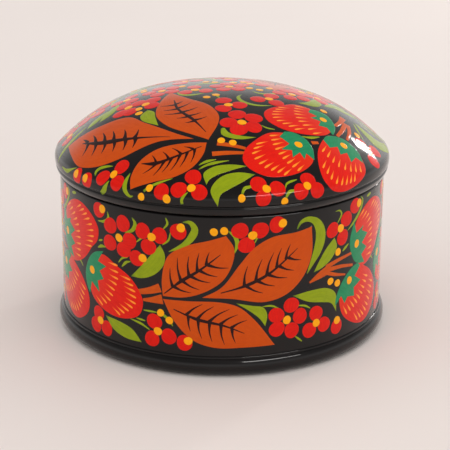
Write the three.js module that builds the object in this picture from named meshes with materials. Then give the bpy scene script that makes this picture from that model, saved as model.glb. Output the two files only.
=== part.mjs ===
// Round turned box with a lift-off domed lid, painted in the Khokhloma manner.
// Millimetres, +Z up, origin at the centre of the base. Every piece is a solid of revolution
// about Z, so each one is drawn as a half section: X is the radius and Y is the height.
import * as THREE from 'three';

// Driving dimensions
const rimRadius = 75;             // widest point of the lid's rim and of the foot bead
const wallRadius = 72.85;         // outside of the straight wall
const wallThickness = 6;
const floorThickness = 6.5;
const seamHeight = 70.5;          // shoulder that the lid sits on
const crownHeight = 106.7;        // top of the lid
const segments = 72;              // facets round the axis

// Foot
const footRecessRadius = 60;      // shallow hollow turned under the base
const footRecessDepth = 1;
const beadRadial = 3;             // half-round bead round the foot: its radial radius
const beadHalfHeight = 4.2;       // and half its height
const beadEndAngle = 70;          // degrees, where the bead runs into the cove
const coveHeight = 1.6;           // small cove between the bead and the wall

// Mouth: a collar stands inside the lid's rim
const mouthRound = 0.9;           // rounded outer edge of the shoulder
const collarHeight = 5.5;
const collarThickness = 2.8;
const collarChamfer = 0.5;
const floorFillet = 8;            // round corner between the wall and the floor, inside

// Lid
const seatGap = 0.2;              // lid above the shoulder
const collarGap = 0.3;            // lid outside the collar
const collarHeadroom = 0.5;       // lid above the collar
const rimHeight = 77.5;           // height of the rim's widest point
const lipRadial = 3;              // radial radius of the curve under the rim
const noseRadius = 4.7;           // round of the rim above its widest point
const noseEndAngle = 46.5;        // degrees, where the nose runs into the dome
const shoulderHandle = 18.5;      // how far the dome holds its slope above the nose
const crownHandle = 45;           // how far the dome stays flat round the crown
const lidThickness = 6.2;         // wood at the crown

// Worked out from them
const insideRadius = wallRadius - wallThickness;
const collarRadius = insideRadius + collarThickness;
const collarTop = seamHeight + collarHeight;
const floorHeight = footRecessDepth + floorThickness;
const lidBottom = seamHeight + seatGap;
const recessRadius = collarRadius + collarGap;
const recessTop = collarTop + collarHeadroom;

const point = (radius, height) => new THREE.Vector2(radius, height);

// Points on an ellipse from one angle to another; 0 degrees points away from the axis.
function arc(centre, radial, vertical, startAngle, endAngle, steps) {
  const points = [];
  for (let step = 0; step <= steps; step += 1) {
    const angle = THREE.MathUtils.degToRad(startAngle + ((endAngle - startAngle) * step) / steps);
    points.push(point(centre.x + radial * Math.cos(angle), centre.y + vertical * Math.sin(angle)));
  }
  return points;
}

// Body: underside, foot bead, wall, shoulder and collar, then down the inside to the floor.
function bodySection() {
  const beadCentre = point(rimRadius - beadRadial, beadHalfHeight);
  const bead = arc(beadCentre, beadRadial, beadHalfHeight, -90, beadEndAngle, 9);
  const beadEnd = bead[bead.length - 1];
  const cove = new THREE.QuadraticBezierCurve(
    beadEnd,
    point(wallRadius, beadEnd.y),
    point(wallRadius, beadEnd.y + coveHeight),
  );
  const shoulderCentre = point(wallRadius - mouthRound, seamHeight - mouthRound);
  const filletCentre = point(insideRadius - floorFillet, floorHeight + floorFillet);
  return [
    point(0, footRecessDepth),
    point(footRecessRadius, footRecessDepth),
    point(footRecessRadius + footRecessDepth, 0),
    ...bead,
    ...cove.getPoints(3).slice(1),
    ...arc(shoulderCentre, mouthRound, mouthRound, 0, 90, 3),
    point(collarRadius, seamHeight),
    point(collarRadius, collarTop - collarChamfer),
    point(collarRadius - collarChamfer, collarTop),
    point(insideRadius + collarChamfer, collarTop),
    point(insideRadius, collarTop - collarChamfer),
    ...arc(filletCentre, floorFillet, floorFillet, 0, -90, 5),
    point(0, floorHeight),
  ];
}

// Lid: hollow ceiling and recess for the collar, then the rim and the dome up to the crown.
function lidSection() {
  const ceilingRise = crownHeight - lidThickness - recessTop;
  const ceiling = arc(point(0, recessTop), insideRadius, ceilingRise, 90, 0, 12);
  const lip = arc(point(rimRadius - lipRadial, rimHeight), lipRadial, rimHeight - lidBottom, -90, 0, 6);
  const noseCentre = point(rimRadius - noseRadius, rimHeight);
  const nose = arc(noseCentre, noseRadius, noseRadius, 0, noseEndAngle, 4);
  const noseEnd = nose[nose.length - 1];
  const slope = THREE.MathUtils.degToRad(noseEndAngle);
  const shoulder = point(
    noseEnd.x - shoulderHandle * Math.sin(slope),
    noseEnd.y + shoulderHandle * Math.cos(slope),
  );
  const dome = new THREE.CubicBezierCurve(
    noseEnd,
    shoulder,
    point(crownHandle, crownHeight),
    point(0, crownHeight),
  );
  return [
    point(0, ceiling[0].y),
    ...ceiling.slice(1),
    point(recessRadius, recessTop),
    point(recessRadius, lidBottom),
    ...lip,
    ...nose.slice(1),
    ...dome.getPoints(14).slice(1),
  ];
}

// A half section spun about the axis, stood upright.
function turned(name, section, material) {
  const geometry = new THREE.LatheGeometry(section, segments);
  geometry.rotateX(Math.PI / 2);
  const mesh = new THREE.Mesh(geometry, material);
  mesh.name = name;
  return mesh;
}

const blackLacquer = new THREE.MeshStandardMaterial({
  color: 0x1d1a1a,
  roughness: 0.2,
  metalness: 0,
});

const paintedBox = new THREE.Group();
paintedBox.add(turned('box_body', bodySection(), blackLacquer));
paintedBox.add(turned('lid', lidSection(), blackLacquer));

export default paintedBox;
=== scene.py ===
"""Looks of a turned wooden box with a domed lid, painted with leaves and berries on black lacquer.

Everything on the object is drawn in millimetres and scaled to metres when its mesh is made.
The box and the lid are turned shells. The painting is real paint: closed films a few hundredths
of a millimetre thick, one mesh for each kind of paint on each body.
"""

import math

import bpy
import numpy as np
from mathutils import Matrix, Vector


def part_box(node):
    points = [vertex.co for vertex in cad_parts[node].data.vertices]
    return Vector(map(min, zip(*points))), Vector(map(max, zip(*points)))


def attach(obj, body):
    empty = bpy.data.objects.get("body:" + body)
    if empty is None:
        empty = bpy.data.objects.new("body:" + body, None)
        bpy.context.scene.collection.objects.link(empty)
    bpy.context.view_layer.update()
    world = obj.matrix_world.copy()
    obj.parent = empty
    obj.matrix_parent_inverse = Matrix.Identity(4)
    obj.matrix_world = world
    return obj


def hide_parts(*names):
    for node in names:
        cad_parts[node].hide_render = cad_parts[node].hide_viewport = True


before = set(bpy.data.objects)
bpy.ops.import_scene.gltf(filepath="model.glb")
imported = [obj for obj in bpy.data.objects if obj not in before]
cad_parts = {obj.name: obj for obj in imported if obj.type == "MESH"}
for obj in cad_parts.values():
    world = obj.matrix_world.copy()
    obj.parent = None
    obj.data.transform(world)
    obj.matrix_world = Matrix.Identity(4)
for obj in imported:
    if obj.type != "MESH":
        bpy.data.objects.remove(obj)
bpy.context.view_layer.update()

MM = 0.001
rng = np.random.default_rng(7)

# ---------------------------------------------------------------- sizes, in mm

body_high = np.array(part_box("box_body")[1]) / MM
lid_low, lid_high = (np.array(corner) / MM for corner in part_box("lid"))

OUTER = body_high[0]            # radius of the foot bead, and of the lid's lip
COLLAR_TOP = body_high[2]
LID_BOTTOM = lid_low[2]
CROWN = lid_high[2]

WALL = OUTER - 2.15             # radius of the painted wall
SEAM = LID_BOTTOM - 0.2         # height of the body's shoulder
INSIDE = WALL - 6
COLLAR = INSIDE + 2.8
FOOT_RECESS = 60
FOOT_RECESS_DEPTH = 1
FLOOR = FOOT_RECESS_DEPTH + 6.5
FLOOR_FILLET = 8
BEAD = 3                        # how far the foot bead bulges
BEAD_HALF = 4.2
BEAD_TOP = 9.1                  # where the bead, with the thin ridge above it, meets the wall
FOOT_IN = 1.5                   # how far the bead is turned in below its middle
RIDGE = 0.75
MOUTH_ROUND = 0.9
COLLAR_CHAMFER = 0.5

RIM = LID_BOTTOM + 6.8          # height where the lid is widest
LIP = 3
LIP_GROOVE = 0.7                # depth of the fine groove turned round the lip
LIP_GROOVE_HEIGHT = LID_BOTTOM + 4.1
NOSE = 4.7                      # radius of the round between lip and dome
NOSE_END = math.radians(46.5)
SHOULDER_HANDLE = 18.5
CROWN_HANDLE = 45
RECESS = COLLAR + 0.3           # the lid's rebate over the collar
RECESS_TOP = COLLAR_TOP + 0.5
CEILING_RISE = CROWN - 6.2 - RECESS_TOP

PAINT_ROOM = 0.1                # the dome's wood is this much lower, so that its paint ends at the true size
LINING = 0.3                    # thickness of the red lacquer inside
NEAR_AXIS = 0.01                # radius at which the lining, a ring, stops short of the axis
ROUND_STEPS = 360


# ---------------------------------------------------------------- outlines of the turned parts

def arc(centre, radii, start, end, count):
    """Points on an ellipse from one angle to another, in degrees."""
    angle = np.radians(np.linspace(start, end, count))
    return np.stack([centre[0] + radii[0] * np.cos(angle), centre[1] + radii[1] * np.sin(angle)], 1)


def curve(corners, count):
    """Points on the Bezier curve with these corners."""
    t = np.linspace(0, 1, count)[:, None]
    points = [np.asarray(corner, float) for corner in corners]
    while len(points) > 1:
        points = [a * (1 - t) + b * t for a, b in zip(points, points[1:])]
    return points[0]


def straight(start, end, step=1.0):
    """Points on a straight line, about one step apart."""
    count = max(2, int(math.dist(start, end) / step) + 1)
    return np.linspace(start, end, count)


def joined(*runs):
    """The runs end to end, without doubled points."""
    points = [runs[0][0]]
    for run in runs:
        points += [p for p in run if np.hypot(*(p - points[-1])) > 1e-4]
    return np.array(points)


def along(points):
    """Distance of each point from the first, along the line."""
    return np.concatenate([[0], np.cumsum(np.hypot(*np.diff(points, axis=0).T))])


def side_normals(points):
    """Unit normals on the right of the line's way."""
    way = np.gradient(points, axis=0)
    way /= np.hypot(*way.T)[:, None]
    return np.stack([way[:, 1], -way[:, 0]], 1)


def body_outside():
    """From the middle of the underside, out and up to the shoulder's inner edge."""
    undercut = arc((OUTER - BEAD - FOOT_IN, BEAD_HALF), (BEAD + FOOT_IN, BEAD_HALF), -90, 0, 24)
    bead = arc((OUTER - BEAD, BEAD_HALF), (BEAD, BEAD_HALF), 0, 48, 18)
    ridge = arc((WALL - 0.1, BEAD_TOP - RIDGE), (RIDGE, RIDGE), -40, 82, 12)
    mouth = (WALL - MOUTH_ROUND, SEAM - MOUTH_ROUND)
    return joined(
        straight((0, FOOT_RECESS_DEPTH), (FOOT_RECESS, FOOT_RECESS_DEPTH), 4),
        straight((FOOT_RECESS, FOOT_RECESS_DEPTH), (FOOT_RECESS + 1, 0), 0.5),
        straight((FOOT_RECESS + 1, 0), undercut[0], 2),
        undercut,
        bead,
        straight(bead[-1], ridge[0], 0.3),
        ridge,
        straight((WALL, ridge[-1][1] + 0.1), (WALL, mouth[1]), 1.6),
        arc(mouth, (MOUTH_ROUND, MOUTH_ROUND), 0, 90, 9),
        straight((mouth[0], SEAM), (COLLAR, SEAM), 0.8),
    )


def body_inside():
    """From the shoulder's inner edge, over the collar and down to the middle of the floor."""
    cut = COLLAR_CHAMFER
    corner = (INSIDE - FLOOR_FILLET, FLOOR + FLOOR_FILLET)
    return joined(
        straight((COLLAR, SEAM), (COLLAR, COLLAR_TOP - cut)),
        straight((COLLAR, COLLAR_TOP - cut), (COLLAR - cut, COLLAR_TOP), 0.2),
        straight((COLLAR - cut, COLLAR_TOP), (INSIDE + cut, COLLAR_TOP), 0.6),
        straight((INSIDE + cut, COLLAR_TOP), (INSIDE, COLLAR_TOP - cut), 0.2),
        straight((INSIDE, COLLAR_TOP - cut), (INSIDE, corner[1]), 2),
        arc(corner, (FLOOR_FILLET, FLOOR_FILLET), 0, -90, 20),
        straight((corner[0], FLOOR), (0, FLOOR), 2),
    )


def lid_inside():
    """From the middle of the ceiling, out and down to the underside of the lip."""
    return joined(
        arc((0, RECESS_TOP), (INSIDE, CEILING_RISE), 90, 0, 60),
        straight((INSIDE, RECESS_TOP), (RECESS, RECESS_TOP), 0.8),
        straight((RECESS, RECESS_TOP), (RECESS, LID_BOTTOM), 0.8),
    )


def lid_outside():
    """From the underside of the lip, round the nose and over to the crown, less the room for paint."""
    nose_centre = (OUTER - NOSE, RIM)
    lip = arc((OUTER - LIP, RIM), (LIP, RIM - LID_BOTTOM), -90, 0, 70)
    lip[:, 0] -= LIP_GROOVE * np.exp(-(((lip[:, 1] - LIP_GROOVE_HEIGHT) / (0.75 * LIP_GROOVE)) ** 2))
    nose = arc(nose_centre, (NOSE, NOSE), 0, math.degrees(NOSE_END), 16)
    rise = np.array([-math.sin(NOSE_END), math.cos(NOSE_END)])
    dome = curve([nose[-1], nose[-1] + SHOULDER_HANDLE * rise, (CROWN_HANDLE, CROWN), (0, CROWN)], 90)
    points = joined(lip, nose, dome)
    from_crown = along(points)[-1] - along(points)
    room = PAINT_ROOM * np.clip((along(points)[-1] - from_crown - 2) / 8, 0, 1)
    return points - side_normals(points) * room[:, None]


# ---------------------------------------------------------------- meshes

def make_object(name, points, faces, material, body, slot):
    """A mesh piece from points in mm, with the given material. It rides on a body; the slot argument is not
    used.
    """
    mesh = bpy.data.meshes.new(name)
    mesh.from_pydata((np.asarray(points) * MM).tolist(), [], faces)
    mesh.validate()
    mesh.shade_smooth()
    mesh.set_sharp_from_angle(angle=math.radians(40))
    piece = bpy.data.objects.new(name, mesh)
    bpy.context.scene.collection.objects.link(piece)
    mesh.materials.append(material)
    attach(piece, body)
    return piece


def turned(outline, closed):
    """Points and faces of a solid turned round Z. The outline goes counter-clockwise as seen with Z up and the
    radius to the right. An open one starts and ends on the axis, and a closed one is a ring."""
    angle = np.arange(ROUND_STEPS) * 2 * math.pi / ROUND_STEPS
    ring = outline if closed else outline[1:-1]
    radius, height = ring[:, 0][:, None], ring[:, 1][:, None]
    points = np.stack(
        [radius * np.sin(angle), -radius * np.cos(angle), height + 0 * angle], -1
    ).reshape(-1, 3)
    faces = []
    rows = len(ring)
    for row in range(rows if closed else rows - 1):
        here, above = row * ROUND_STEPS, (row + 1) % rows * ROUND_STEPS
        for step in range(ROUND_STEPS):
            after = (step + 1) % ROUND_STEPS
            faces.append((here + step, here + after, above + after, above + step))
    if not closed:
        first, last = len(points), len(points) + 1
        points = np.vstack([points, [0, 0, outline[0][1]], [0, 0, outline[-1][1]]])
        top = (rows - 1) * ROUND_STEPS
        for step in range(ROUND_STEPS):
            after = (step + 1) % ROUND_STEPS
            faces.append((first, after, step))
            faces.append((last, top + step, top + after))
    return points, faces


def smooth(points, count, closed=False):
    """Points at even spacing along a soft curve through the given ones."""
    given = np.asarray(points, float)
    if closed:
        given = np.vstack([given[-1], given, given[:2]])
    elif len(given) == 2:
        return np.linspace(given[0], given[1], count)
    else:
        given = np.vstack([2 * given[0] - given[1], given, 2 * given[-1] - given[-2]])
    knots = np.concatenate([[0], np.cumsum(np.sqrt(np.hypot(*np.diff(given, axis=0).T)) + 1e-6)])
    fine = []
    for i in range(1, len(given) - 2):
        t = np.linspace(knots[i], knots[i + 1], 14)[:, None]
        a = [
            (given[j] * (knots[j + 1] - t) + given[j + 1] * (t - knots[j])) / (knots[j + 1] - knots[j])
            for j in (i - 1, i, i + 1)
        ]
        b = [
            (a[j] * (knots[i + 1 + j] - t) + a[j + 1] * (t - knots[i - 1 + j]))
            / (knots[i + 1 + j] - knots[i - 1 + j])
            for j in (0, 1)
        ]
        c = (b[0] * (knots[i + 1] - t) + b[1] * (t - knots[i])) / (knots[i + 1] - knots[i])
        fine.append(c if i == 1 else c[1:])
    fine = np.vstack(fine)
    length = along(fine)
    if closed:
        target = np.linspace(0, length[-1], count + 1)[:-1]
    else:
        target = np.linspace(0, length[-1], count)
    return np.stack([np.interp(target, length, fine[:, k]) for k in (0, 1)], 1)


def signed_area(points):
    """Twice the area inside the points, positive when they go counter-clockwise."""
    x, y = np.asarray(points).T
    return float(np.sum(x * np.roll(y, -1) - y * np.roll(x, -1)))


# ---------------------------------------------------------------- the surfaces that are painted

SHOULDER_END = 76               # how far from the crown the dome begins to bend down to the nose


class Wall:
    """The body's wall, unrolled: x runs round it and y up it."""

    copies = [0, 1, 2]

    def bends_at(self, points):
        """Whether the surface bends sharply at the points."""
        return False

    def place(self, xy, height, copy):
        x = xy[:, 0] + copy * 2 * math.pi * WALL / len(self.copies)
        radius = WALL + height
        return np.stack([radius * np.sin(x / WALL), -radius * np.cos(x / WALL), xy[:, 1]], 1)


class Dome:
    """The lid's top, spread flat. The crown is at (0, 0), and distances from it are those along the dome."""

    copies = [0, 1]
    second_turn = math.radians(168)

    def __init__(self):
        self.outline = lid_outside()[::-1]
        self.normals = -side_normals(self.outline)
        self.from_crown = along(self.outline)

    def bends_at(self, points):
        """Whether the surface bends sharply at the points, as it does at the nose."""
        return np.hypot(*np.asarray(points, float).T).max() > SHOULDER_END

    def place(self, xy, height, copy):
        turn = copy * self.second_turn
        x = xy[:, 0] * math.cos(turn) - xy[:, 1] * math.sin(turn)
        y = xy[:, 0] * math.sin(turn) + xy[:, 1] * math.cos(turn)
        distance = np.hypot(x, y)
        radius, rise, out, up = (
            np.interp(distance, self.from_crown, column)
            for column in (*self.outline.T, *self.normals.T)
        )
        radius = radius + height * out
        sine = np.where(distance > 1e-6, x / np.maximum(distance, 1e-6), 0)
        cosine = np.where(distance > 1e-6, y / np.maximum(distance, 1e-6), 0)
        return np.stack([radius * sine, radius * cosine, rise + height * up], 1)


# ---------------------------------------------------------------- paint films

EDGE = 0.16                     # width of the rounded edge of a brush stroke
EDGE_INSETS = (0, 0.5, 1.5)     # where that edge's points lie, in parts of its width
EDGE_RISE = 0.75                # how high its middle point is, as a part of the film's height
SUNK = -0.02                    # its lowest line, just under the wood's surface
FINE_SPACING = 0.35             # between points where the surface bends sharply
DISC_STEPS = (32, 64)           # points round a berry, and round one where the surface bends sharply
DOT_STEPS = (23, 47)
DISC_DISTANCE = 80              # about how far the outermost discs are from the dome's crown
HAND_SHIFT = 0.35               # how far a repeat's strokes stray from those of the first
HAND_WAVE = 9


class Film:
    """Raised patches of one paint, gathered into one closed mesh."""

    def __init__(self, canvas, height):
        self.canvas = canvas
        self.height = height
        self.points, self.faces, self.stroke, self.brush = [], [], [], []
        self.count = 0

    def _add(self, xy, height, faces, stroke, brush, copy):
        hand = HAND_SHIFT * np.sin(xy[:, ::-1] / HAND_WAVE + copy * 2.1) * (copy > 0)
        self.points.append(self.canvas.place(xy + hand, height, copy))
        self.faces += [tuple(self.count + i for i in face) for face in faces]
        chance = rng.random()
        self.stroke.append(np.column_stack([stroke, np.full(len(xy), chance)]))
        self.brush.append(np.column_stack([brush, np.full(len(xy), 60 * chance)]))
        self.count += len(xy)

    def _spacing(self, points, usual):
        return FINE_SPACING if self.canvas.bends_at(points) else usual

    def loft(self, left, right, copy, lift=0.0, spacing=1.2):
        """A patch between two edges that run the same way, from its start to its tip."""
        spacing = self._spacing(np.vstack([left, right]), spacing)
        length = max(along(smooth(left, 40))[-1], along(smooth(right, 40))[-1])
        count = max(7, int(length / spacing) + 1)
        left, right = smooth(left, 8 * count), smooth(right, 8 * count)
        if signed_area(np.vstack([left, right[::-1]])) > 0:
            left, right = right, left
        ends = [0, EDGE / length, 2.5 * EDGE / length]
        share = np.concatenate([ends, np.linspace(0, 1, count)[1:-1], 1 - np.array(ends[::-1])])
        share = np.unique(np.clip(share, 0, 1))
        where = np.linspace(0, 1, len(left))
        left, right = (
            np.stack([np.interp(share, where, side[:, k]) for k in (0, 1)], 1) for side in (left, right)
        )
        width = np.maximum(np.hypot(*(right - left).T), 0.02)
        across = max(1, int(width.max() / (2 * spacing)))
        edge = np.minimum(EDGE, width / 6)[:, None]
        inset = np.array(EDGE_INSETS)
        middle = np.linspace(0, 1, across + 2)[1:-1]
        near = edge * inset / width[:, None]
        inner = near[:, -1:] + (1 - 2 * near[:, -1:]) * middle
        share_across = np.hstack([near, inner, 1 - near[:, ::-1]])
        columns = share_across.shape[1]
        xy = left[:, None] + share_across[:, :, None] * (right - left)[:, None]
        top = np.full((len(share), columns), 1.0)
        top[:, [1, -2]] = EDGE_RISE
        top[[0, -1]] *= 0.3
        top[[1, -2]] *= 0.8
        height = SUNK + (self.height + lift - SUNK) * top
        height[:, [0, -1]] = SUNK
        faces = []
        for i in range(len(share) - 1):
            here, after = i * columns, (i + 1) * columns
            for j in range(columns - 1):
                faces.append((here + j, here + j + 1, after + j + 1, after + j))
            faces.append((here, after, after + columns - 1, here + columns - 1))
        faces.append(tuple(range(columns))[::-1])
        faces.append(tuple((len(share) - 1) * columns + j for j in range(columns)))
        stroke = np.stack([np.repeat(share, columns), 2 * share_across.ravel() - 1], 1)
        brush = stroke * [length, 0.5] * [1, width.max()]
        self._add(xy.reshape(-1, 2), height.ravel(), faces, stroke, brush, copy)

    def ribbon(self, line, widths, copy, lift=0.0, spacing=1.2):
        """A stroke of the brush along a line. Its widths are spread evenly along it."""
        spacing = self._spacing(line, spacing)
        count = max(9, int(along(np.asarray(line, float))[-1] / (0.5 * spacing)))
        line = smooth(line, count)
        knots = np.linspace(0, 1, len(widths))
        width = np.interp(along(line) / along(line)[-1], knots, widths)
        width = np.convolve(np.pad(width, 2, mode="edge"), [0.1, 0.2, 0.4, 0.2, 0.1], "valid")
        side = side_normals(line) * width[:, None] / 2
        self.loft(line - side, line + side, copy, lift, spacing)

    def patch(self, centre, outline, copy, axis, spacing, lift=0.0):
        """A patch inside a closed outline, all of which can be seen from the centre.
        Its strokes follow the axis."""
        outline = np.asarray(outline, float)
        if signed_area(outline) < 0:
            outline = outline[::-1]
        centre = np.asarray(centre, float)
        spacing = self._spacing(outline, spacing)
        reach = np.hypot(*(outline - centre).T)
        inner = max(1, int(reach.max() / spacing))
        insets = np.stack([1 - np.minimum(EDGE * k / reach, 0.2 * k) for k in EDGE_INSETS])
        rings = np.vstack([insets] + [insets[-1] * (1 - (k + 1) / (inner + 1)) for k in range(inner)])
        top = np.concatenate([[0, EDGE_RISE, 1], np.full(inner, 1.0)])
        xy = centre + rings[:, :, None] * (outline - centre)
        size = len(outline)
        height = SUNK + (self.height + lift - SUNK) * np.repeat(top, size)
        faces = []
        for i in range(len(rings) - 1):
            for j in range(size):
                after = (j + 1) % size
                faces.append((i * size + j, i * size + after, (i + 1) * size + after, (i + 1) * size + j))
        middle, low = len(rings) * size, len(rings) * size + 1
        last = (len(rings) - 1) * size
        for j in range(size):
            after = (j + 1) % size
            faces.append((last + j, last + after, middle))
            faces.append((after, j, low))
        xy = np.vstack([xy.reshape(-1, 2), centre, centre])
        underside = -0.3 - 0.006 * reach.max() ** 2     # deep enough to stay under the bent surface
        height = np.concatenate([height, [self.height + lift], [underside]])
        start, end = (np.asarray(p, float) for p in axis)
        way = (end - start) / np.hypot(*(end - start))
        along_way = (xy - start) @ way
        aside = (xy - start) @ np.array([-way[1], way[0]])
        stroke = np.stack([along_way / np.hypot(*(end - start)), aside / reach.max()], 1)
        self._add(xy, height, faces, stroke, np.stack([along_way, aside], 1), copy)

    def disc(self, centre, radius, copy, lift=0.0, steps=DISC_STEPS):
        """A round touch of paint, a little uneven as a brush leaves it."""
        far_side = np.array([centre]) * (1 + radius / DISC_DISTANCE)
        count = steps[1] if self.canvas.bends_at(far_side) else steps[0]
        angle = np.arange(count) * 2 * math.pi / count
        bulge = 1 + 0.035 * np.sin(2 * angle + 6 * rng.random())
        bulge += 0.02 * np.sin(3 * angle + 6 * rng.random())
        outline = np.stack([radius * bulge * np.cos(angle), radius * bulge * np.sin(angle)], 1)
        turn = math.pi * rng.random()
        way = np.array([math.cos(turn), math.sin(turn)]) * radius
        centre = np.asarray(centre, float)
        self.patch(centre, centre + outline, copy, (centre - way, centre + way), 0.9, lift)

    def build(self, name, material, body, slot):
        piece = make_object(name, np.vstack(self.points), self.faces, material, body, slot)
        for label, rows in (("stroke", self.stroke), ("brush", self.brush)):
            attribute = piece.data.attributes.new(label, "FLOAT_VECTOR", "POINT")
            attribute.data.foreach_set("vector", np.vstack(rows).astype(np.float32).ravel())
        return piece


# ---------------------------------------------------------------- painter: the motifs

FILM_HEIGHTS = {                # the top of each paint above the wood: later strokes lie over earlier ones
    "stems": 0.03,
    "foliage": 0.038,
    "leaves": 0.045,
    "strawberries": 0.05,
    "berries": 0.052,
    "calyxes": 0.068,
    "veins": 0.062,
    "seeds": 0.066,
    "dots": 0.085,
}


class Painter:
    """Paints motifs on one surface, each kind of paint in its own film.
    copy says which repeat of the pattern is being painted."""

    def __init__(self, canvas):
        self.canvas = canvas
        self.films = {kind: Film(canvas, height) for kind, height in FILM_HEIGHTS.items()}
        self.copy = 0

    def stem(self, line, widths):
        self.films["stems"].ribbon(line, widths, self.copy)

    def curl(self, line, widths):
        self.films["foliage"].ribbon(line, widths, self.copy)

    def blade(self, left, right):
        self.films["foliage"].loft(left, right, self.copy)

    def dots(self, places, radius=1.8):
        for place in places:
            self.films["dots"].disc(place, radius, self.copy, steps=DOT_STEPS)

    def berries(self, dot, places, radius=3.5, dot_radius=1.9):
        """Round berries about a yellow dot, each a little over the one before."""
        for i, place in enumerate(places):
            self.films["berries"].disc(place, radius, self.copy, lift=0.0035 * i)
        self.dots([dot], dot_radius)

    def leaf(self, left, right, rib, rib_widths, tips, span, vein_width=1.8):
        """A leaf with a rib. tips are two lists, the far ends of the side veins on each side of the rib;
        the veins leave the rib at even spacing over its span."""
        self.films["leaves"].loft(left, right, self.copy)
        veins = self.films["veins"]
        veins.ribbon(rib, rib_widths, self.copy, lift=0.004, spacing=0.8)
        line = smooth(rib, 60)
        for side, ends in enumerate(tips):
            for i, end in enumerate(ends):
                place = (i + 0.15 * side) / max(1, len(ends) - 1 + 0.15)
                share = span[0] + (span[1] - span[0]) * place
                start = line[int(share * 59)]
                end = np.asarray(end, float)
                bow = 0.06 * np.array([start[1] - end[1], end[0] - start[0]]) * (1 - 2 * side)
                middle = (start + end) / 2 + bow
                widths = vein_width * np.array([1, 0.6, 0.38, 0.1])
                veins.ribbon([start, middle, end], widths, self.copy, lift=0.0015 * side, spacing=0.8)

    def strawberry(self, outline, back, spikes, dot, tip, rows, lift=0.0):
        """A strawberry with its calyx. back is the calyx's round edge and spikes the zigzag that closes it.
        rows are lines of seeds: (points the heads follow, how many)."""
        dot, tip = np.asarray(dot, float), np.asarray(tip, float)
        shape = smooth(outline, 84, closed=True)
        self.films["strawberries"].patch(shape.mean(0), shape, self.copy, (dot, tip), 1.3, lift)
        back = smooth(back, 30)
        zigzag = np.vstack([back[-1:], np.asarray(spikes, float), back[:1]])
        edges = [np.linspace(a, b, 7)[1:] for a, b in zip(zigzag, zigzag[1:])]
        self.films["calyxes"].patch(dot, np.vstack([back, *edges])[:-1], self.copy, (dot, tip), 1.3)
        self.dots([dot], 1.9)
        focus = dot - 0.9 * (tip - dot)
        for heads, count in rows:
            for i, head in enumerate(smooth(heads, count)):
                way = (head - focus) / np.hypot(*(head - focus))
                tail = head - way * (5.4 + 1.0 * rng.random())
                bend = np.array([-way[1], way[0]]) * 0.25 * (rng.random() - 0.5)
                line = [tail, (head + tail) / 2 + bend, head]
                self.films["seeds"].ribbon(line, [0.12, 0.4, 0.7, 1.05, 1.3, 0.6], self.copy, spacing=0.7)


# ---------------------------------------------------------------- the painting on the wall

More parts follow.
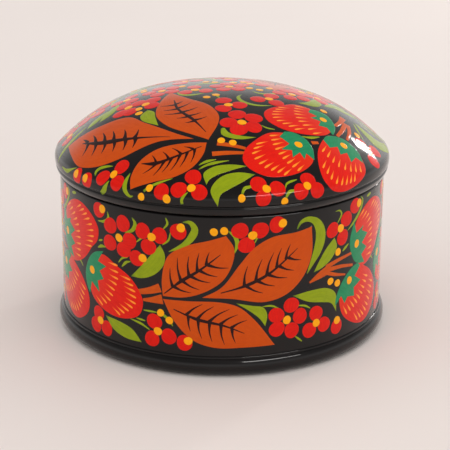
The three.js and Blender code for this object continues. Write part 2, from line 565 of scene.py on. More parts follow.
def paint_wall(p):
    """One of the wall's three repeats. x runs round the wall and y up it."""
    rib = [0.5, 0.9, 1.7, 1.5, 1.1, 0.8, 0.3]
    p.leaf(
        left=[(-24.8, 34.5), (-25.2, 42), (-22.5, 52.3), (-15, 57.5), (-5, 60.4), (1.8, 62.5)],
        right=[(-24.8, 34.5), (-15, 35), (-5.5, 38.5), (1, 43.5), (4.5, 50.5), (5.1, 57), (1.8, 62.5)],
        rib=[(-24.3, 35.6), (-16.8, 42), (-9.5, 47), (-0.3, 54.5)],
        rib_widths=rib,
        tips=([(-21.5, 47.5), (-18.3, 52.3), (-13.5, 53.3), (-9.2, 55), (-5, 55.5)],
              [(-12.5, 37.2), (-9, 38.7), (-4.5, 42), (-1.5, 44.7), (3, 48.6)]),
        span=(0.18, 0.77),
    )
    p.leaf(
        left=[(-8, 35.3), (0, 40), (7.5, 50), (13.5, 57), (21, 61), (32, 62), (39, 63.3)],
        right=[(-8, 35.3), (4.5, 34.9), (18, 32.8), (28, 35.3), (35.5, 42), (39.3, 51), (39, 63.3)],
        rib=[(-0.5, 37.5), (10.5, 40.8), (20, 45.3), (32.5, 55)],
        rib_widths=rib,
        tips=([(10.8, 49.5), (16.8, 52), (21.8, 54.5), (25.1, 56), (29.1, 57.3)],
              [(17.5, 36.8), (22.5, 39.5), (28, 42.5), (31, 45.3), (34.3, 49.5)]),
        span=(0.28, 0.85),
    )
    p.leaf(
        left=[(-24.8, 33.2), (-15, 33.4), (-0.5, 33.4), (7, 31.3), (14, 25), (22.8, 13)],
        right=[(-24.8, 33.2), (-20, 24), (-12, 16), (-3, 13), (10, 12.9), (22.8, 13)],
        rib=[(-20.3, 29.3), (-10, 25.5), (1, 23), (9.8, 19.3)],
        rib_widths=rib,
        tips=([(-7.7, 32.5), (-3, 31.7), (3.5, 30.5), (7, 28), (10.8, 25.3)],
              [(-12.9, 19.8), (-8.1, 16.8), (-3.8, 15.5), (1.4, 14.3), (6, 15)]),
        span=(0.2, 0.82),
    )

    for line, widths in (
        ([(-36, 34.6), (-31, 36), (-26, 38)], [2.4, 3, 4]),
        ([(-34, 31.4), (-30, 32), (-25, 33)], [1.2, 2.6, 4.6]),
        ([(38.5, 38.4), (42.5, 40.2), (48.5, 42.4)], [0.8, 3.2, 4.4]),
        ([(47, 43.6), (54, 45.2), (63.5, 46.2)], [2.2, 1.7, 1.2]),
        ([(47.5, 42.2), (56, 41.9), (64, 40.4)], [2.2, 1.7, 1.2]),
        ([(47, 41.2), (52, 39.2), (59, 37.4)], [1.8, 1.6, 0.8]),
    ):
        p.stem(line, widths)

    p.strawberry(
        outline=[(-55.5, 47), (-47.5, 44), (-40, 40), (-35.5, 34.5), (-34, 30), (-36, 24), (-42.5, 21),
                 (-51, 20.7), (-59.5, 23.5), (-63.5, 27), (-65, 33), (-62, 42)],
        back=[(-55, 48.5), (-61, 46.5), (-65.5, 42), (-68, 35), (-66.5, 29), (-64.8, 26.8)],
        spikes=[(-63.3, 32.5), (-58, 29), (-59, 34), (-55, 35.8), (-57.5, 39), (-53.3, 42), (-58.5, 43.3)],
        dot=(-62.8, 38),
        tip=(-36, 29),
        rows=[([(-46.8, 43.9), (-46.3, 38.6), (-48.2, 33), (-51, 27), (-56, 23.5)], 9),
              ([(-40, 39), (-37.7, 34.7), (-37.5, 28.6), (-40.7, 25), (-45.7, 21.7)], 9)],
    )
    p.strawberry(
        outline=[(66, 60), (73, 65), (78.5, 66.5), (84, 66), (91, 62.5), (95, 57.5), (94, 52), (90, 48),
                 (85, 42.5), (78, 38.5), (71, 38), (65.5, 44), (63.5, 52)],
        back=[(64, 60), (61.5, 53), (61.5, 49), (65, 42), (68.5, 39.8), (73.8, 38.8)],
        spikes=[(70.5, 43), (75.5, 45.5), (71, 48.5), (76, 51.8), (70.5, 54.5), (72, 56.5), (66, 54.5)],
        dot=(66.6, 49.3),
        tip=(95, 56.5),
        rows=[([(72, 63.5), (77, 60.3), (80.5, 54.8), (81.3, 49.2), (80.5, 41.2)], 10),
              ([(82.6, 65), (87.6, 62.2), (91, 58.2), (92, 53.5), (90, 48.3)], 9)],
        lift=0.004,
    )
    p.strawberry(
        outline=[(55.5, 27), (58, 19), (66, 13), (74, 10.8), (80, 12.3), (85.5, 16.5), (87, 21), (86, 26),
                 (81, 32.5), (76, 36), (70, 38.5), (62, 36), (57, 32)],
        back=[(70, 38.5), (68, 40), (64, 39.5), (57.5, 35), (53.3, 28), (53, 24.5)],
        spikes=[(56.5, 28), (59, 24), (61, 26.5), (66, 25.5), (65.5, 29.5), (71, 31.5), (66, 34.8)],
        dot=(61.9, 33.9),
        tip=(84, 17),
        rows=[([(61, 18.5), (68.3, 21), (73, 24), (77.8, 31)], 9),
              ([(69.5, 13), (77, 14.5), (82, 21.5), (83.8, 26.5)], 9)],
    )

    p.berries((-45.7, 56.6), [(-50.5, 61), (-43.5, 63.3), (-40.3, 56.3), (-43.3, 51.8), (-50.9, 53.3)], 3.6)
    p.berries((28.1, 23.5), [(23.3, 26.3), (30, 29.9), (34.2, 24.3), (30.4, 18.5), (23.6, 20)])
    for dot, places in (
        ((-29.6, 59.8), [(-33.8, 61.8), (-26, 60.9), (-31.1, 55.3)]),
        ((-57.9, 16.1), [(-59, 19), (-61, 13.3), (-54, 13.5)]),
        ((-27.2, 18.3), [(-28.8, 22.5), (-29.9, 14.5), (-22.3, 16.6)]),
        ((12.7, 62.4), [(7.4, 64.6), (15.9, 64.4), (10.1, 58.3)]),
        ((55, 59.2), [(50.3, 59.4), (58.6, 62.5), (56.4, 54.8)]),
        ((42.5, 19.4), [(42.3, 23.8), (39, 16.8), (46.7, 17.8)]),
        ((-55.1, 67.2), [(-57.3, 66.3)]),
        ((-33.9, 49.9), [(-36.8, 49.3)]),
        ((-16.8, 65.2), [(-17.9, 63.5)]),
        ((-13.9, 15.5), [(-15.5, 14.5)]),
        ((25.4, 66.6), [(23, 66.3)]),
        ((54.5, 17.6), [(54.3, 14.8)]),
        ((67.4, 67.4), [(64.5, 66.8)]),
    ):
        p.berries(dot, places)
    p.dots([(-25.9, 26.8), (-22, 23.9), (-3.2, 64.1), (1, 64.6), (49.8, 36.6), (54, 34.8),
            (53.8, 48.9)], 1.7)

    for left, right in (
        ([(-39.8, 40.8), (-35, 46), (-30, 52), (-25.8, 57)],
         [(-39.8, 40.8), (-34, 41), (-28, 43.8), (-24.2, 48.5), (-23.8, 53), (-25.8, 57)]),
        ([(-54.5, 19.5), (-46, 18.8), (-39.5, 16.8), (-34.9, 11.8)],
         [(-54.5, 19.5), (-50, 14.5), (-43, 12), (-34.9, 11.8)]),
        ([(6, 33), (13, 31.5), (17.5, 30.5), (19.3, 27), (18.5, 21.8)],
         [(6, 33), (12, 29), (16, 25.5), (18.5, 21.8)]),
        ([(30.5, 34), (40, 34.8), (48, 34), (53, 30.5), (53.8, 21.8)],
         [(30.5, 34), (38, 30), (46, 28), (50.5, 26.5), (53.8, 21.8)]),
        ([(40.4, 42.6), (43.4, 47.4), (46.8, 52), (51.4, 56)],
         [(40.4, 42.6), (45.4, 44), (50.2, 47), (53, 51.5), (51.4, 56)]),
    ):
        p.blade(left, right)
    fine = [0.3, 0.9, 1, 0.3]
    for line, widths in (
        ([(32, 63.2), (33.6, 65.8), (36.8, 66.8), (40.8, 65.2), (43.2, 61.5), (43.6, 57), (42.2, 52.2),
          (39.6, 47.2), (37.2, 42.8)], [0.6, 1.8, 2.6, 4.2, 5.2, 5, 3.8, 2, 0.4]),
        ([(-16, 67.7), (-13, 67.8), (-11, 65), (-12.3, 61.5), (-15.5, 58), (-22, 54.4)],
         [0.4, 2.4, 3.4, 2.6, 1.6, 0.3]),
        ([(-52, 66.8), (-51.5, 64), (-54, 62), (-58, 61.4)], [0.4, 1.6, 1.4, 0.3]),
        ([(-38.8, 66.8), (-37.3, 64.5), (-38.5, 61.5), (-42.5, 59.5)], [0.4, 2, 1.6, 0.3]),
        ([(-23.3, 69), (-22.5, 66.5), (-24.3, 64)], [0.4, 1.2, 0.4]),
        ([(-21.3, 62.8), (-22, 59.5), (-24.8, 57)], fine),
        ([(-32.5, 60.2), (-36.8, 56.5)], fine),
        ([(2.8, 64.5), (5.5, 62), (6.3, 59), (5.3, 55)], [0.6, 1.8, 1.8, 0.4]),
        ([(18.5, 66), (15.5, 63), (13.5, 59)], fine),
        ([(51.5, 67.3), (54, 67.3), (55.3, 65.5), (52.8, 61.8)], fine),
        ([(68.5, 70), (70.3, 68.5), (69.5, 65.5), (66, 61.5), (59.5, 57)], [0.4, 1.4, 1.6, 1.4, 0.3]),
        ([(56.5, 48.5), (60.5, 51)], [0.5, 1.6, 0.4]),
        ([(-34, 26.8), (-27.5, 26.8)], fine),
        ([(-40.5, 21.5), (-35, 20.3), (-31, 18.3)], [0.4, 1.3, 0.4]),
        ([(-37.5, 22.5), (-33, 22)], fine),
        ([(-46.3, 45.5), (-44, 48), (-41.3, 48.8)], fine),
        ([(-44.5, 44), (-42, 46.6), (-39.8, 47.3)], [0.4, 1.6, 0.3]),
        ([(-25.9, 26.8), (-24, 25.6), (-22, 23.9), (-20.5, 21.5)], [0.9, 1.4, 1.2, 0.3]),
        ([(17, 30.8), (21, 30.8), (24.3, 29.3)], fine),
        ([(32.8, 29.3), (36.5, 28.5), (39.3, 26.8)], fine),
        ([(32, 15.5), (35.5, 12.5)], fine),
        ([(-57.8, 52.6), (-55.3, 53.5)], [0.3, 1.2, 0.4]),
        ([(-58.5, 49.3), (-56, 50.6), (-53.5, 50.7)], [0.3, 1.8, 0.4]),
        ([(-74.5, 40), (-72, 39.3), (-70, 37.5)], [0.3, 1.3, 0.3]),
        ([(74, 68.6), (78, 69.2)], [0.6, 1.8, 0.6]),
    ):
        p.curl(line, widths)


# ---------------------------------------------------------------- the painting on the lid

def paint_dome(p):
    """One of the dome's two repeats. (0, 0) is the crown, x is to the right and y to the back."""
    p.leaf(
        left=[(-12, -51.7), (-20, -46.5), (-33, -34.5), (-41, -24.8), (-55, -21.8), (-66, -20),
              (-72.3, -20.3)],
        right=[(-12, -51.7), (-27, -50), (-45, -52.8), (-57, -50.6), (-66, -43.5), (-70.3, -31),
               (-72.3, -20.3)],
        rib=[(-22, -48.6), (-37, -43.8), (-53.5, -37), (-64, -28)],
        rib_widths=[0.3, 0.9, 1.8, 3, 2.2, 0.6],
        tips=([(-39, -49.3), (-43.5, -48.6), (-48.5, -46.6), (-54, -44.2), (-59, -42), (-64, -38)],
              [(-36, -38), (-42.5, -34.5), (-48, -32), (-53, -29.5), (-58, -27), (-63.5, -25)]),
        span=(0.34, 0.92),
        vein_width=2.8,
    )
    p.leaf(
        left=[(-5.8, -52.8), (-14, -48), (-23, -41), (-28.3, -31), (-27.8, -19), (-23, -4)],
        right=[(-5.8, -52.8), (-2, -43), (-1.5, -35), (-6, -24.5), (-14, -16.5), (-20, -9), (-23, -4)],
        rib=[(-6.8, -48), (-12, -38.5), (-19, -27), (-21, -16)],
        rib_widths=[0.4, 1, 2, 1.5, 1.4, 0.5],
        tips=([(-16, -40), (-19.5, -35.5), (-25, -30.5), (-25.5, -26.5), (-27, -21.5)],
              [(-6.5, -36), (-8.8, -32), (-10.3, -26.5), (-13.5, -21), (-17, -18.5)]),
        span=(0.3, 0.86),
        vein_width=2.2,
    )
    p.leaf(
        left=[(-6.5, -54.5), (-8, -61), (-13, -67.5), (-21, -70.8), (-30, -71), (-41, -71)],
        right=[(-6.5, -54.5), (-15, -53.8), (-27.5, -54.3), (-36, -58.5), (-40.4, -65), (-41, -71)],
        rib=[(-8.5, -56.5), (-17.5, -59.8), (-28.5, -62), (-35.3, -60)],
        rib_widths=[0.4, 0.9, 1.2, 1.6, 2.2, 0.4],
        tips=([(-13.5, -65), (-18.3, -66.5), (-22.5, -67.5), (-26.3, -67.5), (-30.3, -68), (-35, -65.5)],
              [(-16.3, -55.8), (-21.5, -55.5), (-25.5, -56.5), (-30.3, -57)]),
        span=(0.12, 0.76),
    )

    for line, widths in (
        ([(-2.2, -55.2), (4, -56.2), (10, -57.5)], [2.4, 2.2, 1.6]),
        ([(-4.3, -61), (3, -60.4), (10, -60)], [2.5, 2.2, 1.5]),
        ([(38.8, -45.5), (42, -43.8)], [2, 1.6]),
        ([(54.5, -11.5), (53, -18), (50, -25)], [3.4, 2.2, 1.6]),
        ([(55.5, -17), (53.5, -26), (51, -33)], [2.6, 2.2, 1.6]),
        ([(56.8, -17), (57.3, -24), (56, -32)], [2.2, 2, 1.4]),
    ):
        p.stem(line, widths)

    p.strawberry(
        outline=[(38, -16.5), (31.5, -16), (25, -21), (19.5, -26.5), (17.8, -31), (19.3, -37), (25, -41.3),
                 (32, -42), (40, -39.8), (46, -35.5), (48.5, -28), (46, -20)],
        back=[(38.5, -17), (42, -16.3), (46, -17.4), (49.5, -23.5), (50, -29.5), (48.8, -34)],
        spikes=[(46, -30), (42, -31), (43, -26.5), (38.2, -26.2), (41.5, -22.5), (37.4, -21)],
        dot=(44.4, -23.8),
        tip=(18.5, -33.5),
        rows=[([(31.5, -17.5), (30.8, -25), (33, -33), (39.3, -39)], 9),
              ([(24, -22.8), (21.3, -29), (22, -35), (31, -40)], 9)],
    )
    p.strawberry(
        outline=[(27, -44), (20, -46), (14, -52), (9.6, -58.5), (8.9, -64), (12, -68), (20, -70.5), (29, -68),
                 (36.5, -62.3), (40, -55.5), (37.5, -48), (33, -44)],
        back=[(26.5, -43.2), (30, -42.3), (36, -44.4), (39.5, -49.5), (40.5, -55.5)],
        spikes=[(36.6, -53.4), (36, -57), (33.6, -54), (30.5, -58), (30, -54), (25.3, -55), (28.7, -50.5),
                (24.3, -47.3)],
        dot=(32.9, -49.4),
        tip=(11, -66),
        rows=[([(20, -48), (22.3, -55.3), (27.5, -61.5), (33, -64.3)], 9),
              ([(14.3, -54.5), (12.7, -60.5), (17, -66), (27, -68.3)], 9)],
    )
    p.strawberry(
        outline=[(44.5, -39.5), (41.8, -50), (43.3, -59.5), (46.5, -65), (50.5, -66.5), (57.5, -63.3),
                 (63.5, -55.5), (66.3, -45), (63, -38), (54, -34.5), (47, -35.5)],
        back=[(44, -40.6), (46, -36.5), (54, -32.8), (62, -36), (65, -41.3)],
        spikes=[(60.8, -41), (58.5, -46), (56, -41.6), (52.8, -45), (51, -41), (47.3, -44)],
        dot=(54.3, -37.6),
        tip=(51, -66),
        rows=[([(43.8, -48.8), (50.5, -53), (58, -52.3), (63.8, -48.5)], 8),
              ([(44.6, -58), (50.5, -63), (55.5, -61.5), (61, -56)], 8)],
        lift=0.004,
    )

    petals = [(6.3, -34), (13.3, -36.2), (2.8, -41), (13.2, -43.3), (7, -46)]
    p.berries((8.3, -40.4), petals, 3.9, 2)
    for dot, places in (
        ((-48.4, -59.9), [(-53.8, -58.8), (-44.4, -57.8), (-47.1, -65)]),
        ((-13.4, -77.1), [(-19, -77), (-12.5, -72), (-10, -79.3)]),
        ((19.6, -76.4), [(15.8, -74.8), (24.4, -75.3), (18.6, -80.8)]),
        ((37.9, -70), [(38.1, -67), (43, -70), (35.3, -73.5)]),
        ((68.3, -29), [(63.5, -27), (71.5, -24.5), (70.8, -34)]),
        ((20.3, -14), [(15.5, -15.8), (21.5, -9.5), (23.5, -18)]),
        ((2.6, -24.6), [(0.5, -19.5), (0.5, -28.5), (7.3, -24.5)]),
        ((-33.6, -15.3), [(-37, -11.5), (-30.5, -11.5), (-30.8, -18)]),
        ((-41.5, -13.5), [(-45, -17.8), (-40.5, -19.2), (-44, -10)]),
        ((-68, -46.3), [(-67.8, -47.6)]),
        ((-63.3, -52.8), [(-62.8, -54.3)]),
        ((-25, -80), [(-26.8, -76.3)]),
    ):
        p.berries(dot, places, 3.6)
    p.dots([(-32.1, -73.3), (-36.9, -75.8), (-0.4, -53.4), (4.5, -54.6), (8.8, -82), (28.8, -79.9),
            (-36.5, -19), (-36.3, -23.8), (-2.8, -12), (-6.8, -15), (45, -13.8), (61.5, -21.8)], 1.7)

    for left, right in (
        ([(11, -66.7), (3, -66.5), (-4, -67.8), (-8, -70.8), (-6.8, -76.3)],
         [(11, -66.7), (3, -69.8), (-2.5, -72), (-5.5, -74), (-6.8, -76.3)]),
        ([(14.5, -70.3), (6, -70.3), (-1, -73), (-5, -79), (-1.9, -86)],
         [(14.5, -70.3), (8.5, -75), (3, -78.5), (-0.5, -81), (-1.9, -86)]),
        ([(-0.6, -45.8), (0.6, -44.8), (3, -48.4), (8, -50), (14.5, -50.2)],
         [(-0.6, -45.8), (-0.2, -49.8), (4, -52), (9, -52.2), (14.5, -50.2)]),
        ([(-32.5, -22.5), (-35.5, -27), (-34.5, -32), (-27.3, -39)],
         [(-32.5, -22.5), (-29.4, -26), (-28.8, -31), (-27.3, -39)]),
        ([(42, 1.5), (39, -5), (37, -9), (33, -13)],
         [(42, 1.5), (44.5, -5), (41.5, -11.5), (33, -13)]),
        ([(60, -8.5), (68, -10), (72.5, -9.5), (77, -5.5), (79, -1)],
         [(60, -8.5), (65, -14.5), (72, -18.3), (78, -15.5), (82, -8), (79, -1)]),
        ([(-62, -17), (-60, -12.5), (-55, -9), (-51, -8)],
         [(-62, -17), (-57, -15.5), (-53, -12), (-51, -8)]),
        ([(-55.5, -17.5), (-54, -13), (-50, -7), (-46.5, -3)],
         [(-55.5, -17.5), (-50, -15), (-46.5, -9), (-46.5, -3)]),
    ):
        p.blade(left, right)
    fine = [0.3, 1, 1.1, 0.3]
    for line, widths in (
        ([(8.5, -11), (7, -14), (7.5, -18), (10, -21.5), (15, -23.5), (21.5, -22)],
         [0.4, 1.8, 2.2, 2, 1.4, 0.3]),
        ([(34, -43.5), (38, -42.5), (42.5, -39.5)], [0.4, 1.8, 0.5]),
        ([(16.5, -41.3), (19, -42.8), (22.5, -43)], fine),
        ([(-40.5, -62.8), (-43, -66.5), (-43.8, -70.5), (-42.5, -73.5), (-40.8, -74)],
         [0.4, 1.8, 2.4, 1.8, 0.4]),
        ([(-57.5, -55.5), (-57, -53.5), (-55, -52.8), (-51.5, -53.8), (-48.5, -55.3)],
         [0.6, 1.8, 1.6, 1.2, 0.3]),
        ([(-58.5, -64.5), (-55, -64.4), (-50.8, -62.3)], [2, 2.8, 0.5]),
        ([(-76.5, -32.5), (-73.5, -39), (-67, -43.5)], [0.5, 2, 0.4]),
        ([(-79, -26), (-74, -19.5), (-68, -16), (-62, -13)], [0.5, 2.6, 3, 0.6]),
        ([(-77, -17), (-71, -11), (-63, -8)], [0.5, 1.8, 0.4]),
        ([(-35, -74), (-30.5, -72.5), (-21.5, -71.3)], [1.2, 1.4, 0.3]),
        ([(-10, -66.5), (-7, -65), (-2.5, -64)], [0.4, 1.6, 0.3]),
        ([(-10, -68.5), (-6, -66.5), (3, -64.5)], [0.6, 1.6, 0.3]),
        ([(8.8, -80.5), (10, -77.5), (12.3, -76.5), (17, -73.5)], [1, 1.6, 1.2, 0.3]),
        ([(28.8, -78.5), (30, -75.5), (34, -73.3)], [1, 1.6, 0.3]),
        ([(28, -74.5), (28.5, -72), (33, -68.5)], fine),
        ([(-18.3, -83.5), (-18, -81.5), (-15, -78.8)], [1.4, 1.4, 0.4]),
        ([(60, -11), (62.5, -18), (65, -22)], [0.5, 1.6, 0.4]),
        ([(-5, -10), (-3, -12.5), (-1, -17)], fine),
    ):
        p.curl(line, widths)


def paint_crown(p):
    """The flowers in the middle of the dome, and those in the gap at its left, which are painted only once."""
    for middle, radius, count, reach in (
        ((3, 2), 3.3, 5, 5.6),
        ((-12, -3), 3.2, 3, 5.2),
        ((31, -1.5), 3.3, 5, 5.8),
        ((-27, 1), 3.3, 5, 5.8),
        ((12.5, 10.5), 3.2, 3, 5.2),
        ((-60.5, 3), 3.7, 5, 6.4),
        ((-76.2, 5), 3.3, 3, 4.6),
        ((-72.5, -7.5), 3.3, 2, 4.2),
        ((-43, -1), 3.2, 3, 4.6),
    ):
        angle = np.arange(count) * 2 * math.pi / count + rng.random() * 2
        places = [(middle[0] + reach * math.cos(a), middle[1] + reach * math.sin(a)) for a in angle]
        p.berries(middle, places, radius)
    p.dots([(12, 0.5), (16.5, -1.5), (-3.5, 11.5), (-7.5, 13), (21, 3.5), (-18, 5.5), (-51, 9.5),
            (-55, 12.5), (-35.5, 7), (-36, 11)], 1.7)
    p.blade([(-56, 16), (-60, 17.5), (-66, 17), (-71, 13)], [(-56, 16), (-60, 13), (-65, 12), (-71, 13)])
    p.blade([(-71, 21), (-77, 18.5), (-80.5, 12)], [(-71, 21), (-74, 16), (-80.5, 12)])
    for line in (
        [(-13, 4), (-10, 8), (-4, 9), (0, 12)],
        [(13, -5), (17, -7.5), (22, -6), (24, -2)],
        [(-20, -5), (-18, -9.5), (-13, -11), (-8, -9)],
        [(-44, 14), (-47, 10), (-50, 5), (-50, -3)],
        [(-66, -5), (-69, -1), (-70, 4)],
    ):
        p.curl(line, [0.4, 1.8, 2.2, 0.4])


# ---------------------------------------------------------------- materials

class Look:
    """A node material under a clear varnish, built a step at a time."""

    def __init__(self, name, varnish=1.0, varnish_roughness=0.05, varnish_ior=1.24):
        self.material = bpy.data.materials.new(name)
        self.material.use_nodes = True
        self.nodes = self.material.node_tree.nodes
        self.shader = self.nodes["Principled BSDF"]
        self.shader.inputs["Coat Weight"].default_value = varnish
        self.shader.inputs["Coat Roughness"].default_value = varnish_roughness
        self.shader.inputs["Coat IOR"].default_value = varnish_ior
        self.shader.inputs["Specular IOR Level"].default_value = 0.05

    def link(self, source, target):
        self.material.node_tree.links.new(source, target)

    def add(self, kind, **settings):
        node = self.nodes.new(kind)
        for key, value in settings.items():
            setattr(node, key, value)
        return node

    def along_stroke(self):
        """How far along its stroke a place is: 0 at the start and 1 at the tip."""
        place = self.add("ShaderNodeAttribute", attribute_name="stroke")
        split = self.add("ShaderNodeSeparateXYZ")
        self.link(place.outputs["Vector"], split.inputs[0])
        return split.outputs["X"]

    def noise(self, vector, stretch, scale, detail=3.0):
        mapping = self.add("ShaderNodeMapping")
        mapping.inputs["Scale"].default_value = stretch
        self.link(vector, mapping.inputs["Vector"])
        noise = self.add("ShaderNodeTexNoise")
        noise.inputs["Scale"].default_value = scale
        noise.inputs["Detail"].default_value = detail
        self.link(mapping.outputs[0], noise.inputs["Vector"])
        return noise.outputs["Fac"]

    def ranged(self, value, low, high, to_low=0.0, to_high=1.0):
        node = self.add("ShaderNodeMapRange")
        for key, number in (("From Min", low), ("From Max", high), ("To Min", to_low), ("To Max", to_high)):
            node.inputs[key].default_value = number
        self.link(value, node.inputs["Value"])
        return node.outputs[0]

    def blend(self, factor, first, second):
        """Mixes two colours. Each is three numbers or a socket."""
        node = self.add("ShaderNodeMix", data_type="RGBA")
        self.link(factor, node.inputs["Factor"])
        for name, colour in (("A", first), ("B", second)):
            socket = [s for s in node.inputs if s.name == name and s.type == "RGBA"][0]
            if isinstance(colour, tuple):
                socket.default_value = (*colour, 1)
            else:
                self.link(colour, socket)
        return [s for s in node.outputs if s.type == "RGBA"][0]

    def bump(self, height, depth, under=None):
        node = self.add("ShaderNodeBump")
        node.inputs["Strength"].default_value = 1.0
        node.inputs["Distance"].default_value = depth * MM
        self.link(height, node.inputs["Height"])
        if under is not None:
            self.link(under, node.inputs["Normal"])
        return node.outputs[0]

    def done(self, colour, roughness, normal, varnish_normal=None):
        self.link(colour, self.shader.inputs["Base Color"])
        self.link(roughness, self.shader.inputs["Roughness"])
        self.link(normal, self.shader.inputs["Normal"])
        if varnish_normal is not None:
            self.link(varnish_normal, self.shader.inputs["Coat Normal"])
        return self.material


def linear(red, green, blue):
    """A colour given in 0 to 255, as the shader wants it."""
    shares = (red / 255, green / 255, blue / 255)
    return tuple(c / 12.92 if c <= 0.04045 else ((c + 0.055) / 1.055) ** 2.4 for c in shares)


def lacquer(name, deep, worn):
    """Lacquer brushed on a turning piece: faint rings, soft clouds and a slightly wavy varnish."""
    look = Look(name, varnish_ior=1.34)
    place = look.add("ShaderNodeTexCoord").outputs["Object"]
    rings = look.noise(place, (60, 60, 1500), 1, 2)
    clouds = look.noise(place, (1, 1, 1), 45, 4)
    specks = look.noise(place, (1, 1, 1), 2600, 2)
    colour = look.blend(look.ranged(clouds, 0.35, 0.7), deep, worn)
    dust = tuple(1.8 * c + 0.004 for c in worn)
    colour = look.blend(look.ranged(specks, 0.62, 0.8, 0, 0.35), colour, dust)
    roughness = look.ranged(rings, 0.3, 0.7, 0.28, 0.4)
    base = look.bump(rings, 0.012)
    waves = look.bump(look.noise(place, (1, 1, 1), 130, 1), 0.03)
    return look.done(colour, roughness, base, waves)


def paint(name, colour, streak, tail=None, tail_span=(0.0, 0.0), head=None, head_span=(1.0, 1.0),
          relief=0.0):
    """Brushed enamel: streaks along the stroke, and softer colours at its start and end."""
    look = Look(name, varnish_roughness=0.06)
    brush = look.add("ShaderNodeAttribute", attribute_name="brush").outputs["Vector"]
    place = look.add("ShaderNodeTexCoord").outputs["Object"]
    streaks = look.noise(brush, (0.16, 1.7, 1), 1, 4)
    mottle = look.noise(place, (1, 1, 1), 420, 3)
    shade = look.blend(look.ranged(streaks, 0.4, 0.75, 0, 0.6), colour, streak)
    shade = look.blend(look.ranged(mottle, 0.4, 0.75, 0, 0.4), shade, streak)
    where = look.along_stroke()
    if tail is not None:
        shade = look.blend(look.ranged(where, *tail_span), tail, shade)
    if head is not None:
        shade = look.blend(look.ranged(where, *head_span), shade, head)
    roughness = look.ranged(streaks, 0.3, 0.7, 0.3, 0.48)
    fine = look.bump(streaks, 0.02)
    waves = look.bump(look.noise(place, (1, 1, 1), 130, 1), 0.03)
    if relief > 0:
        waves = look.bump(look.noise(place, (1, 1, 1), 520, 2), relief, under=waves)
    return look.done(shade, roughness, fine, waves)


black_lacquer = lacquer("black_lacquer", linear(11, 9, 9), linear(19, 16, 16))
red_lacquer = lacquer("red_lacquer", linear(150, 22, 12), linear(178, 34, 18))
PAINTS = {                      # film: (material, the record's slot)
    "stems": (paint("stem_orange", linear(205, 84, 8), linear(180, 62, 0)), "leaf_orange"),
    "foliage": (
        paint("foliage_green", linear(146, 162, 14), linear(120, 140, 12), linear(84, 112, 28), (0.0, 0.12),
              linear(104, 126, 22), (0.92, 1.0)),
        "foliage_green",
    ),
    "leaves": (paint("leaf_orange", linear(202, 77, 0), linear(188, 66, 0)), "leaf_orange"),
    "strawberries": (
        paint("strawberry_red", linear(228, 24, 4), linear(205, 12, 0), linear(222, 42, 10), (0.0, 0.5),
              relief=0.05),
        "berry_red",
    ),
    "berries": (paint("berry_red", linear(222, 20, 2), linear(196, 6, 0)), "berry_red"),
    "calyxes": (paint("calyx_green", linear(30, 140, 92), linear(20, 118, 76)), "calyx_green"),
    "veins": (paint("vein_brown", linear(42, 14, 10), linear(28, 10, 8)), "vein_brown"),
    "seeds": (
        paint("seed_gold", linear(255, 150, 40), linear(250, 134, 30), linear(238, 60, 10), (0.0, 0.6)),
        "seed_gold",
    ),
    "dots": (paint("dot_yellow", linear(252, 172, 6), linear(244, 150, 0)), "dot_yellow"),
}


# ---------------------------------------------------------------- the object

def sunk_back(surface, depth):
    """The surface's line moved into the wood behind it."""
    return surface - side_normals(surface) * depth


def coat(surface):
    """A closed ring of lacquer on the surface's line, which stops just short of the axis."""
    ring = np.vstack([surface, sunk_back(surface, LINING)[::-1]])
    ring[:, 0] = np.maximum(ring[:, 0], NEAR_AXIS)
    return ring


def build_box():
    """The turned box and its red lining."""
    inside = body_inside()
    solid = joined(body_outside(), sunk_back(inside, LINING / 2))
    box = make_object("turned_box", *turned(solid, closed=False), black_lacquer, "body", "black_lacquer")
    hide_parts("box_body")
    make_object("box_lining", *turned(coat(inside), closed=True), red_lacquer, "body", "red_lacquer")


def build_lid():
    """The turned lid and its red lining."""
    inside = lid_inside()
    solid = joined(sunk_back(inside, LINING / 2), lid_outside())
    top = make_object("turned_lid", *turned(solid, closed=False), black_lacquer, "lid", "black_lacquer")
    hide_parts("lid")
    make_object("lid_lining", *turned(coat(inside), closed=True), red_lacquer, "lid", "red_lacquer")


def build_painting(prefix, body, canvas, motifs, once=None):
    """All the films of one surface: the motifs in each repeat, and then what is painted once."""
    painter = Painter(canvas)
    for copy in canvas.copies:
        painter.copy = copy
        motifs(painter)
    if once is not None:
        painter.copy = 0
        once(painter)
    for kind, film in painter.films.items():
        material, slot = PAINTS[kind]
        film.build(f"{prefix}_{kind}", material, body, slot)


build_box()
build_lid()
build_painting("box", "body", Wall(), paint_wall)
build_painting("lid", "lid", Dome(), paint_dome, paint_crown)


# ---------------------------------------------------------------- floor, light and camera

def make_stage():
    """A pale table top, large enough to fill every view down to the horizon."""
    half = 14
    mesh = bpy.data.meshes.new("table")
    corners = ((-half, -half, 0), (half, -half, 0), (half, half, 0), (-half, half, 0))
    mesh.from_pydata(corners, [], [(0, 1, 2, 3)])
    table = bpy.data.objects.new("table", mesh)
    bpy.context.scene.collection.objects.link(table)
    look = Look("table_top", varnish=0.0)
    place = look.add("ShaderNodeTexCoord").outputs["Object"]
    clouds = look.noise(place, (1, 1, 1), 3, 2)
    colour = look.blend(clouds, linear(229, 220, 216), linear(234, 226, 222))
    mesh.materials.append(look.done(colour, look.ranged(clouds, 0, 1, 0.42, 0.5), look.bump(clouds, 0.01)))


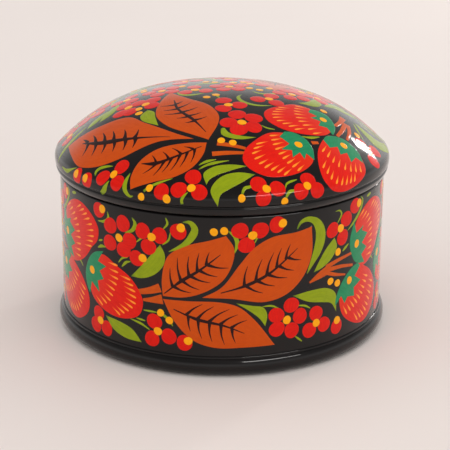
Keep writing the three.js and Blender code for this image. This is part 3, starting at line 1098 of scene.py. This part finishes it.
def make_light(name, azimuth, elevation, distance, size, power, lights_table=True):
    """A rectangular soft light that looks at the object. Its azimuth, in degrees, is 0 in front and 90 at
    the right.
    One that doesn't light the table only shines in the varnish."""
    lamp = bpy.data.lights.new(name, "AREA")
    lamp.shape = "RECTANGLE"
    lamp.size, lamp.size_y = size
    lamp.energy = power
    lamp.color = (1, 0.97, 0.94)
    light = bpy.data.objects.new(name, lamp)
    a, e = math.radians(azimuth), math.radians(elevation)
    away = Vector((math.sin(a) * math.cos(e), -math.cos(a) * math.cos(e), math.sin(e)))
    target = Vector((0, 0, 0.05))
    light.location = target + away * distance
    light.rotation_euler = (-away).to_track_quat("-Z", "Y").to_euler()
    light.visible_camera = False
    light.visible_diffuse = lights_table
    bpy.context.scene.collection.objects.link(light)


def make_fill(power):
    """An even, shadowless light from above that doesn't show in the varnish."""
    lamp = bpy.data.lights.new("fill", "SUN")
    lamp.energy = power
    lamp.angle = math.radians(120)
    lamp.color = (1, 0.98, 0.96)
    light = bpy.data.objects.new("fill", lamp)
    light.rotation_euler = (math.radians(15), math.radians(8), 0)
    light.visible_glossy = False
    bpy.context.scene.collection.objects.link(light)


def make_world():
    """A pale room: bright walls round the table and a darker ceiling."""
    world = bpy.data.worlds.new("surroundings")
    world.use_nodes = True
    nodes, links = world.node_tree.nodes, world.node_tree.links
    split = nodes.new("ShaderNodeSeparateXYZ")
    links.new(nodes.new("ShaderNodeTexCoord").outputs["Generated"], split.inputs[0])
    fall = nodes.new("ShaderNodeMapRange")
    fall.interpolation_type = "SMOOTHSTEP"
    for key, number in (("From Min", 0.12), ("From Max", 0.5), ("To Min", 1.05), ("To Max", 0.3)):
        fall.inputs[key].default_value = number
    links.new(split.outputs["Z"], fall.inputs["Value"])
    background = nodes["Background"]
    background.inputs["Color"].default_value = (1, 0.975, 0.96, 1)
    links.new(fall.outputs[0], background.inputs["Strength"])
    bpy.context.scene.world = world


def make_camera():
    """The camera, and the small roll with which it is held."""
    data = bpy.data.cameras.new("camera")
    data.sensor_width = 36
    data.lens = 113.85
    data.clip_start, data.clip_end = 0.01, 20
    camera = bpy.data.objects.new("camera", data)
    distance = 0.650
    elevation = math.radians(18.42)
    roll = math.radians(0.3)
    place = Vector((0, -distance * math.cos(elevation), 0.050 + distance * math.sin(elevation)))
    target = Vector((0.00147, 0, 0.04203))
    turn = (target - place).to_track_quat("-Z", "Y").to_matrix() @ Matrix.Rotation(roll, 3, "Z")
    camera.matrix_world = Matrix.Translation(place) @ turn.to_4x4()
    bpy.context.scene.collection.objects.link(camera)
    bpy.context.scene.camera = camera


make_stage()
make_world()
make_fill(2.05)
make_light("glint", 38, 38, 1.4, (0.9, 0.16), 8, lights_table=False)
make_light("window", 140, 21.5, 1.4, (0.11, 0.17), 2.4)
make_camera()
bpy.context.scene.view_settings.view_transform = "Standard"
